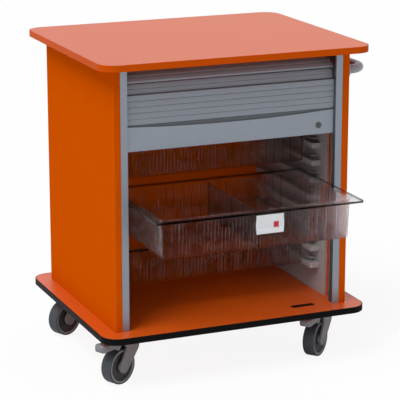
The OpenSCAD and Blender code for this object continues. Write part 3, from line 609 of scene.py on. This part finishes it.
def turned(node, corner, material, sections, steps=72):
    hub = middle_of("caster_tyre_" + corner)
    out = hub - middle_of("caster_plate_" + corner)
    out.z = 0
    out.normalize()
    along, up = Vector((-out.y, out.x, 0)), Vector((0, 0, 1))
    vertices, faces = [], []
    for section in sections:
        points = eased(section)
        first, n = len(vertices), len(points)
        for k in range(steps):
            a = 2 * math.pi * k / steps
            ray = out * math.cos(a) + up * math.sin(a)
            vertices += [hub + (ray * r + along * x) * MM for r, x in points]
            low, high = first + k * n, first + (k + 1) % steps * n
            faces += [(low + j, low + (j + 1) % n, high + (j + 1) % n, high + j)
                      for j in range(n)]
    name = "%s_%s" % (node, corner)
    piece = closed_object(name + "_turned", vertices, faces, 35)
    dress(piece, nodes[name]["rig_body"], material)
    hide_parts(name)


def ring(r_in, r_out, x_low, x_high, rounding_in, rounding_out):
    return [(r_in, x_low, rounding_in), (r_out, x_low, rounding_out),
            (r_out, x_high, rounding_out), (r_in, x_high, rounding_in)]


# radii, and half widths along the axle, in mm
BORE, HUB, RIM_IN, RIM_OUT, TREAD = 4.3, 13, 41, 46, 50
WEB, CENTRE, TYRE, GUARD_AT, GUARD = 3, 16.5, 17.5, 12.5, 0.7
CLEAR = 0.3  # between a guard disc and what it sits in
centre_section = [
    (BORE, -CENTRE, 0.3), (HUB, -CENTRE, 0.8), (HUB, -WEB, 0.8), (RIM_IN, -WEB, 0.8),
    (RIM_IN, -CENTRE, 0.8), (RIM_OUT, -CENTRE, 0.3), (RIM_OUT, CENTRE, 0.3),
    (RIM_IN, CENTRE, 0.8), (RIM_IN, WEB, 0.8), (HUB, WEB, 0.8), (HUB, CENTRE, 0.8),
    (BORE, CENTRE, 0.3)]
for corner in ("fl", "fr", "rl", "rr"):
    turned("caster_wheel", corner, wheel_centre, [centre_section])
    turned("caster_tyre", corner, rubber, [ring(RIM_OUT, TREAD, -TYRE, TYRE, 0.3, 3.5)])
    turned("wheel_guards", corner, guard_disc,
           [ring(HUB + CLEAR, RIM_IN - CLEAR, at - GUARD, at + GUARD, 0.3, 0.3)
            for at in (-GUARD_AT, GUARD_AT)])
    print("wheel", corner, "turned about", middle_of("caster_tyre_" + corner))

# %% [markdown]
# ## Geometry Nodes
#
# Slats, ribs and screws repeat, so a small tree makes each kind: it takes a path or a
# cloud of points, copies one shape along it, and ends by making the copies real and
# giving them their material. The result is then kept as a plain mesh.

# %% Build and run a tree
def tree_of(name, **inputs):
    tree = bpy.data.node_groups.new(name, "GeometryNodeTree")
    tree.interface.new_socket("Geometry", in_out="INPUT", socket_type="NodeSocketGeometry")
    for label, kind in inputs.items():
        tree.interface.new_socket(label, in_out="INPUT", socket_type="NodeSocket" + kind)
    tree.interface.new_socket("Geometry", in_out="OUTPUT", socket_type="NodeSocketGeometry")
    return tree, add(tree, "NodeGroupInput").outputs


def end_tree(tree, copies, material):
    real = add(tree, "GeometryNodeRealizeInstances", {"Geometry": copies})
    painted = add(tree, "GeometryNodeSetMaterial", {"Geometry": real.outputs["Geometry"],
                                                    "Material": material})
    add(tree, "NodeGroupOutput", {"Geometry": painted.outputs["Geometry"]})


def grown(name, tree, start, **sizes):
    source = as_object(name + "_start", start)
    modifier = source.modifiers.new("Grow", "NODES")
    modifier.node_group = tree
    for item in tree.interface.items_tree:
        if item.item_type == "SOCKET" and item.in_out == "INPUT" and item.name in sizes:
            modifier[item.identifier] = sizes[item.name]
    piece = settled(name, source)
    print(name, len(piece.data.polygons), "faces")
    return piece


def path_mesh(name, points):
    mesh = bpy.data.meshes.new(name)
    mesh.from_pydata([tuple(p) for p in points], [(k, k + 1) for k in range(len(points) - 1)], [])
    return mesh


# %% [markdown]
# ## The shutter's slats
#
# The slats are hinged to each other and run in a track: down the front, round a bend and
# back under the worktop, then down again behind. A path with that shape carries them. The
# tree cuts the path at every pitch, turns a slat to the path's direction there, and gives
# the slat a rounded section, so that a dark line shows between each two.

# %% A tree that lays slats along a path
slats_tree, given = tree_of("Slats along a track", Count="Int", Pitch="Float", Length="Float",
                            Height="Float", Depth="Float", Rounding="Float", Finish="Material")
track = add(slats_tree, "GeometryNodeMeshToCurve", {"Mesh": given["Geometry"]})
number = add(slats_tree, "GeometryNodeInputIndex")
middle = add(slats_tree, "ShaderNodeMath", {0: number.outputs[0], 1: 0.5}, operation="ADD")
along = add(slats_tree, "ShaderNodeMath", {0: middle.outputs[0], 1: given["Pitch"]},
            operation="MULTIPLY")
spot = add(slats_tree, "GeometryNodeSampleCurve", {"Curves": track.outputs["Curve"],
                                                   "Length": along.outputs[0]},
           mode="LENGTH", use_all_curves=True)
places = add(slats_tree, "GeometryNodePoints", {"Count": given["Count"],
                                                "Position": spot.outputs["Position"]})
turn = add(slats_tree, "FunctionNodeAlignRotationToVector", {"Vector": spot.outputs["Tangent"]},
           axis="Z", pivot_axis="X")
section = add(slats_tree, "GeometryNodeCurvePrimitiveQuadrilateral",
              {"Width": given["Depth"], "Height": given["Height"]})
rounded = add(slats_tree, "GeometryNodeFilletCurve",
              {"Curve": section.outputs["Curve"], "Radius": given["Rounding"], "Count": 3},
              mode="POLY")
half = add(slats_tree, "ShaderNodeMath", {0: given["Length"], 1: 0.5}, operation="MULTIPLY")
minus = add(slats_tree, "ShaderNodeMath", {0: half.outputs[0], 1: -1.0}, operation="MULTIPLY")
end_a = add(slats_tree, "ShaderNodeCombineXYZ", {"X": minus.outputs[0]})
end_b = add(slats_tree, "ShaderNodeCombineXYZ", {"X": half.outputs[0]})
spine = add(slats_tree, "GeometryNodeCurvePrimitiveLine", {"Start": end_a.outputs[0],
                                                           "End": end_b.outputs[0]})
one_slat = add(slats_tree, "GeometryNodeCurveToMesh",
               {"Curve": spine.outputs["Curve"], "Profile Curve": rounded.outputs["Curve"],
                "Fill Caps": True})
copies = add(slats_tree, "GeometryNodeInstanceOnPoints",
             {"Points": places.outputs[0], "Instance": one_slat.outputs["Mesh"],
              "Rotation": turn.outputs["Rotation"]})
end_tree(slats_tree, copies.outputs["Instances"], given["Finish"])
print("slats tree:", len(slats_tree.nodes), "nodes")

# %% Lay the slats that hang in view
SLAT_PITCH = 16 * MM
# the hinges' plane, the height where the slats start, where the bend starts, and its radius
hinge_y, bar_top, tangent_z, bend_r = -251 * MM, 713.06 * MM, 793.06 * MM, 51.94 * MM
# these slats end at the uprights, because above the straight the grooves bend away from them
slat_sizes = dict(Pitch=SLAT_PITCH, Length=606 * MM, Height=15.7 * MM, Depth=7.8 * MM,
                  Rounding=1.3 * MM, Finish=pvc_slat)


def smooth(piece, degrees=40):
    piece.data.shade_smooth()
    piece.data.set_sharp_from_angle(angle=math.radians(degrees))
    return piece


hanging = smooth(grown("slats_hanging", slats_tree,
                       path_mesh("hang", [(0, hinge_y, bar_top), (0, hinge_y, tangent_z)]),
                       Count=5, **slat_sizes))
dress(hanging, "shutter")
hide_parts("shutter_slats_front")
print("hanging slats", [round(v / MM, 1) for v in (*hanging.bound_box[0], *hanging.bound_box[6])])

# %% [markdown]
# When the bar goes up, the hanging slats go straight up with it. The first two slats of the
# bend are therefore thin and lie 7 mm deeper in, which leaves that room and shows at rest as
# a dark groove below and above them.

# %% Lay the slats over the bends and the flat run
FLAT_SLATS, TRACK_SLATS, THIN_SLATS = 24, 34, 2
bend_y = hinge_y + bend_r
flat_end = bend_y + FLAT_SLATS * SLAT_PITCH


def front_bend(radius, a_from, a_to):
    return [(0, bend_y - radius * math.cos(a), tangent_z + radius * math.sin(a))
            for a in np.linspace(a_from, a_to, 24)]


flat_and_back = [(0, flat_end + bend_r * math.sin(a), tangent_z + bend_r * math.cos(a))
                 for a in np.linspace(0, math.pi / 2, 24)]
path_l = math.pi * bend_r + flat_end - bend_y
stored_pitch, inner_r = path_l / TRACK_SLATS, 45.2 * MM
thin_angle = THIN_SLATS * stored_pitch / bend_r
inner_pitch = thin_angle * inner_r / THIN_SLATS
inner_slats = smooth(grown("slats_bend", slats_tree,
                           path_mesh("inner", front_bend(inner_r, 0, thin_angle)),
                           Count=THIN_SLATS,
                           **dict(slat_sizes, Pitch=inner_pitch, Height=inner_pitch - 0.1 * MM,
                                  Depth=3.6 * MM, Rounding=1.7 * MM)))
dress(inner_slats, "cabinet")
# on the bend the joints open to deep grooves, which a larger rounding draws
stored_sizes = dict(slat_sizes, Pitch=stored_pitch, Length=622 * MM, Height=15.6 * MM,
                    Rounding=2.4 * MM)
track_path = front_bend(bend_r, thin_angle, math.pi / 2) + flat_and_back
# the last pitch of the track, at the back, stays free
stored = smooth(grown("slats_stored", slats_tree, path_mesh("track", track_path),
                      Count=TRACK_SLATS - THIN_SLATS - 1, **stored_sizes))
dress(stored, "cabinet")
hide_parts("shutter_slats_stored")

# %% [markdown]
# When the shutter is pulled down, more slats come round the bend. A slide can't turn a
# slat round a corner, so a few more slats wait upright behind the hanging ones, and each
# goes a fixed part of the bar's way: the weight of the blend is the same all over a slat.

# %% Slats that follow the bar part of its way
def waiting(name, z_low, count, y, share):
    piece = smooth(grown(name, slats_tree, path_mesh(name, [(0, y, z_low),
                         (0, y, z_low + count * SLAT_PITCH)]), Count=count,
                         **dict(slat_sizes, Depth=2.0 * MM, Rounding=0.6 * MM)))
    # a smoothstep is turned back, and the blend's ends are put far away from the slat
    t = 0.5 - math.sin(math.asin(1 - 2 * share) / 3)
    span = 1000.0
    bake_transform(piece, "cabinet", "shutter", (0, 0, z_low + span * t), (0, 0, z_low + span * (t - 1)))
    weights = np.array([d.value for d in piece.data.attributes["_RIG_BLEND"].data])
    print(name, "goes", weights.min().round(3), "to", weights.max().round(3), "of the way")


waiting("slats_waiting_front", 719 * MM, 5, -241.7 * MM, 0.0615)
for z_low, share in ((721, 0.2), (737, 0.446), (753, 0.692)):
    waiting("slats_waiting_%d" % z_low, z_low * MM, 1, -239.4 * MM, share)

# %% [markdown]
# ## The tracks behind the uprights
#
# The tracks follow the slats' path. They are moulded in acetal, which lets a slat slip.

# %% Dress the tracks
for node in ("shutter_track_left", "shutter_track_right"):
    softened(node, track_pom, 0.4)

# %% [markdown]
# ## Baskets
#
# A basket is one moulding: a floor, leaning walls with fine upright ribs, and a rim that
# turns outwards and down. Its shape follows a rule, a rounded rectangle that changes with
# height, so its mesh is a stack of loops. Between two loops the ribs stand proud of the
# outer face. Stronger ribs inside hold dividers, and a tree sets them along the walls.

# %% Loops of a basket
BASKET_W, BASKET_D = 548 * MM, 348 * MM
RIM_W, RIM_D = 596 * MM, 396 * MM
WALL_CORNER, RIM_CORNER, CORNER_POINTS = 22 * MM, 10 * MM, 9
FINE_PITCH = 10 * MM


def fine_ribs(long):
    return int((long - 2 * WALL_CORNER) / FINE_PITCH)


def outline(w, d, r, rib=0.0):
    """Points round a rounded rectangle; along its sides a rib stands proud at every pitch."""
    points = []
    for side, (long, across) in enumerate(((BASKET_W, BASKET_D), (BASKET_D, BASKET_W)) * 2):
        here_l, here_a = ((w, d), (d, w))[side % 2]
        straight = here_l / 2 - r
        count = fine_ribs(long)
        turn_by = side * math.pi / 2
        c, s = math.cos(turn_by), math.sin(turn_by)
        flat = []
        for k in range(count):
            for part, proud in ((-0.14, 0), (-0.07, rib), (0.07, rib), (0.14, 0)):
                x = ((k + 0.5 + part) / count * 2 - 1) * straight
                flat.append((x, -here_a / 2 - proud))
        for a in np.linspace(0, math.pi / 2, CORNER_POINTS):
            flat.append((straight + r * math.sin(a), -here_a / 2 + r - r * math.cos(a)))
        points += [(c * x - s * y, s * x + c * y) for x, y in flat]
    return points


levels = [  # offset of the wall's outline, height, rib, on the rim's outline or not
    (-9.5, 2.5, 0, 0), (-7.3, 3.2, 0, 0), (-6.5, 5.5, 0, 0), (-2.5, 106, 0, 0),
    (-2.0, 107.5, 0, 0), (-1.0, 108, 0, 0), (-1.2, 108, 0, 1), (-0.4, 107.7, 0, 1),
    (0, 106.8, 0, 1), (0, 102.3, 0, 1), (-0.6, 102, 0, 1), (-2.4, 102.2, 0, 1),
    (-2.5, 105.5, 0, 1), (0.8, 105.5, 0, 0), (0, 104.5, 0, 0), (-0.2, 101, 0, 0),
    (-0.25, 100, 0.3, 0), (-3.6, 10, 0.3, 0), (-3.7, 9, 0, 0), (-3.95, 3.5, 0, 0),
    (-4.9, 0.9, 0, 0), (-7.0, 0, 0, 0)]
LIP_FROM, LIP_TO = 7, 12  # the levels between which the rim's lip lies


def basket_shell(name, z, y):
    vertices, faces = [], []
    for offset, height, rib, on_rim in levels:
        w, d, r = ((RIM_W, RIM_D, RIM_CORNER) if on_rim
                   else (BASKET_W, BASKET_D, WALL_CORNER))
        o = offset * MM
        loop = outline(w + 2 * o, d + 2 * o, max(r + o, 2 * MM), rib * MM)
        vertices += [(px, py + y, z + height * MM) for px, py in loop]
    n = len(loop)
    for level in range(len(levels) - 1):
        low, high = level * n, (level + 1) * n
        faces += [(low + k, low + (k + 1) % n, high + (k + 1) % n, high + k) for k in range(n)]
    faces.append(tuple(range(n)))
    faces.append(tuple(reversed(range((len(levels) - 1) * n, len(levels) * n))))
    return closed_object(name, vertices, faces, 50)


def mark_faces(shell):
    """Gives the second material to the fine ribs and the third to the rim's lip."""
    on_rib = []
    for long in (BASKET_W, BASKET_D) * 2:
        on_rib += [True, True, True, False] * fine_ribs(long) + [False] * CORNER_POINTS
    band = [bool(level[2]) for level in levels].index(True)
    faces, n = shell.data.polygons, len(on_rib)
    for k, rubbed in enumerate(on_rib):
        faces[band * n + k].material_index = int(rubbed)
    for k in range(LIP_FROM * n, LIP_TO * n):
        faces[k].material_index = 2


print("one loop of a basket has", len(outline(BASKET_W, BASKET_D, WALL_CORNER)), "points")

# %% A tree that sets ribs along a basket's walls
ribs_tree, given = tree_of("Ribs along walls", Width="Float", Reach="Float", Height="Float",
                           Lean="Float", Finish="Material")
size = add(ribs_tree, "ShaderNodeCombineXYZ", {"X": given["Width"], "Y": given["Reach"],
                                               "Z": given["Height"]})
rib = add(ribs_tree, "GeometryNodeMeshCube", {"Size": size.outputs[0], "Vertices Z": 2})
tip = add(ribs_tree, "ShaderNodeCombineXYZ", {"X": given["Lean"]})
leaning = add(ribs_tree, "GeometryNodeTransform", {"Geometry": rib.outputs["Mesh"],
                                                   "Rotation": tip.outputs[0]})
inward = add(ribs_tree, "GeometryNodeInputNamedAttribute", {"Name": "inward"},
             data_type="FLOAT_VECTOR")
facing = add(ribs_tree, "FunctionNodeAlignRotationToVector",
             {"Vector": inward.outputs["Attribute"]}, axis="Y", pivot_axis="Z")
copies = add(ribs_tree, "GeometryNodeInstanceOnPoints",
             {"Points": given["Geometry"], "Instance": leaning.outputs["Geometry"],
              "Rotation": facing.outputs["Rotation"]})
end_tree(ribs_tree, copies.outputs["Instances"], given["Finish"])


def marked_points(name, rows, attribute):
    """A mesh of loose points, each with a direction kept as an attribute."""
    mesh = bpy.data.meshes.new(name)
    mesh.from_pydata([tuple(place) for place, _ in rows], [], [])
    data = mesh.attributes.new(attribute, "FLOAT_VECTOR", "POINT")
    data.data.foreach_set("vector", np.array([way for _, way in rows], np.float32).ravel())
    return mesh


def rib_places(z, y):
    rows = []
    pitch = 25 * MM
    inside = 6.5 * MM  # from the basket's outline to the middle of a rib at mid height
    for side in (-1, 1):
        for k in range(-9, 10):
            rows.append(((k * pitch, y - side * (BASKET_D / 2 - inside), z), (0, side, 0)))
        for k in range(-5, 6):
            rows.append(((-side * (BASKET_W / 2 - inside), y + k * pitch, z), (side, 0, 0)))
    return rows


# %% Make the three baskets
for level, z, y in (("lower", 242.3, 18), ("middle", 392.3, -259), ("upper", 542.3, 18)):
    body = "basket_" + level
    shell = dress(basket_shell("basket_shell_" + level, z * MM, y * MM), body, clear)
    shell.data.materials.append(clear_rubbed)
    shell.data.materials.append(clear_lip)
    mark_faces(shell)
    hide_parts("basket_" + level)
    ribs = grown("basket_ribs_" + level, ribs_tree,
                 marked_points("ribs", rib_places((z + 52) * MM, y * MM), "inward"),
                 Width=1.6 * MM, Reach=4 * MM, Height=98 * MM, Lean=math.radians(2.2),
                 Finish=clear)
    dress(ribs, body)
softened("basket_divider", clear, 0.3)

# %% [markdown]
# ## Screws
#
# The heads of the screws are the same pan head with a hexagon socket, in three sizes. The
# places come from the CAD: each loose solid of a screw node is one screw, and the middle
# of its head tells where to set the copy.

# %% One screw head, turned like a pan head
def head_mesh(radius, height, outline_n=18):
    rings = [(0.0, 0.45), (0.42, 0.45), (0.42, 1.0), (0.55, 1.0), (0.86, 0.82), (0.98, 0.45),
             (1.0, 0.0), (0.0, 0.0)]
    shape = bmesh.new()
    loops = []
    for share, up in rings:
        loop = []
        for k in range(outline_n):
            a = 2 * math.pi * k / outline_n
            r = radius * share
            if 0 < share < 0.5:  # the socket is a hexagon
                r /= max(math.cos((a % (math.pi / 3)) - math.pi / 6), 0.5) * 1.08
            loop.append(shape.verts.new((r * math.cos(a), r * math.sin(a), height * up)))
        loops.append(loop)
    for low, high in zip(loops, loops[1:]):
        for k in range(outline_n):
            shape.faces.new((low[k], low[(k + 1) % outline_n], high[(k + 1) % outline_n],
                             high[k]))
    bmesh.ops.remove_doubles(shape, verts=shape.verts, dist=1e-7)
    bmesh.ops.recalc_face_normals(shape, faces=shape.faces)
    mesh = bpy.data.meshes.new("screw_head")
    shape.to_mesh(mesh)
    shape.free()
    return mesh


# %% A tree that sets screws on points
screws_tree, given = tree_of("Screws on points", Head="Object", Finish="Material")
head = add(screws_tree, "GeometryNodeObjectInfo", {"Object": given["Head"]})
outward = add(screws_tree, "GeometryNodeInputNamedAttribute", {"Name": "outward"},
              data_type="FLOAT_VECTOR")
facing = add(screws_tree, "FunctionNodeAlignRotationToVector",
             {"Vector": outward.outputs["Attribute"]}, axis="Z")
copies = add(screws_tree, "GeometryNodeInstanceOnPoints",
             {"Points": given["Geometry"], "Instance": head.outputs["Geometry"],
              "Rotation": facing.outputs["Rotation"]})
end_tree(screws_tree, copies.outputs["Instances"], given["Finish"])


def loose_solids(node):
    """The corners of each loose solid of a CAD node, as arrays."""
    shape = merged(node)
    seen, solids = set(), []
    for start in shape.verts:
        if start in seen:
            continue
        todo, found = [start], []
        seen.add(start)
        while todo:
            vertex = todo.pop()
            found.append(vertex.co[:])
            for edge in vertex.link_edges:
                other = edge.other_vert(vertex)
                if other not in seen:
                    seen.add(other)
                    todo.append(other)
        solids.append(np.array(found))
    shape.free()
    return solids


def screws(node, axis, way_of, radius_mm, height_mm):
    rows = []
    for corners in loose_solids(node):
        low, high = corners.min(0), corners.max(0)
        way = np.zeros(3)
        way[axis] = way_of((low + high) / 2)
        seat = (low + high) / 2
        tip = high[axis] if way[axis] > 0 else low[axis]
        seat[axis] = tip - way[axis] * height_mm * MM
        rows.append((seat, way))
    head = as_object(node + "_head", head_mesh(radius_mm * MM, height_mm * MM))
    piece = grown(node + "_detailed", screws_tree, marked_points(node, rows, "outward"),
                  Head=head, Finish=zinc)
    bpy.data.objects.remove(head)
    dress(smooth(piece), nodes[node]["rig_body"])
    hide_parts(node)
    print(node, len(rows), "screws")


screws("liner_screws", 0, lambda middle: -math.copysign(1, middle[0]), 4.0, 2.4)
screws("caster_screws", 2, lambda middle: -1, 6.0, 3.0)
screws("handle_screws", 0, lambda middle: 1, 4.0, 2.4)

# %% [markdown]
# ## Floor and light
#
# The trolley stands on a plain pale floor that runs out of view. The world is white where
# the camera, a gloss or a clear plastic looks into it, and dimmer as a lamp. One broad
# lamp high on the left makes the left side the brightest, as in the photograph.

# %% Floor, world and lamps
floor_material = bpy.data.materials.new("pale_floor")
floor_material.use_nodes = True
tree = floor_material.node_tree
shader = tree.nodes["Principled BSDF"]
shader.inputs["Base Color"].default_value = linear("F2F2F2")
shader.inputs["Roughness"].default_value = 0.9
white = add(tree, "ShaderNodeEmission", {"Color": (1, 1, 1, 1), "Strength": 1.0})
seen = add(tree, "ShaderNodeLightPath")
share = add(tree, "ShaderNodeMath", {0: seen.outputs["Is Camera Ray"], 1: 0.9},
            operation="MULTIPLY")
mix = add(tree, "ShaderNodeMixShader", {0: share.outputs[0], 1: shader.outputs[0],
                                        2: white.outputs[0]})
join(tree, mix.outputs[0], tree.nodes["Material Output"], "Surface")
bpy.ops.mesh.primitive_plane_add(size=30)
floor = bpy.context.object
floor.name = "floor"
floor.data.materials.append(floor_material)

world = bpy.data.worlds.new("studio")
bpy.context.scene.world = world
world.use_nodes = True
tree = world.node_tree
background = tree.nodes["Background"]
background.inputs["Color"].default_value = (1, 1, 1, 1)
seen = add(tree, "ShaderNodeLightPath")
direct = add(tree, "ShaderNodeMath", {0: seen.outputs["Is Camera Ray"],
                                      1: seen.outputs["Is Transmission Ray"]}, operation="MAXIMUM")
shown = add(tree, "ShaderNodeMath", {0: direct.outputs[0], 1: seen.outputs["Is Glossy Ray"]},
            operation="MAXIMUM")
strength = add(tree, "ShaderNodeMapRange", {"Value": shown.outputs[0], "To Min": 0.42,
                                            "To Max": 1.0})
join(tree, strength.outputs["Result"], background, "Strength")

sun_data = bpy.data.lights.new("broad_lamp", "SUN")
sun_data.energy = 2.4
sun_data.angle = math.radians(35)
sun = bpy.data.objects.new("broad_lamp", sun_data)
sun.rotation_euler = Vector((-0.5, -0.22, 0.84)).to_track_quat("Z", "Y").to_euler()
bpy.context.collection.objects.link(sun)
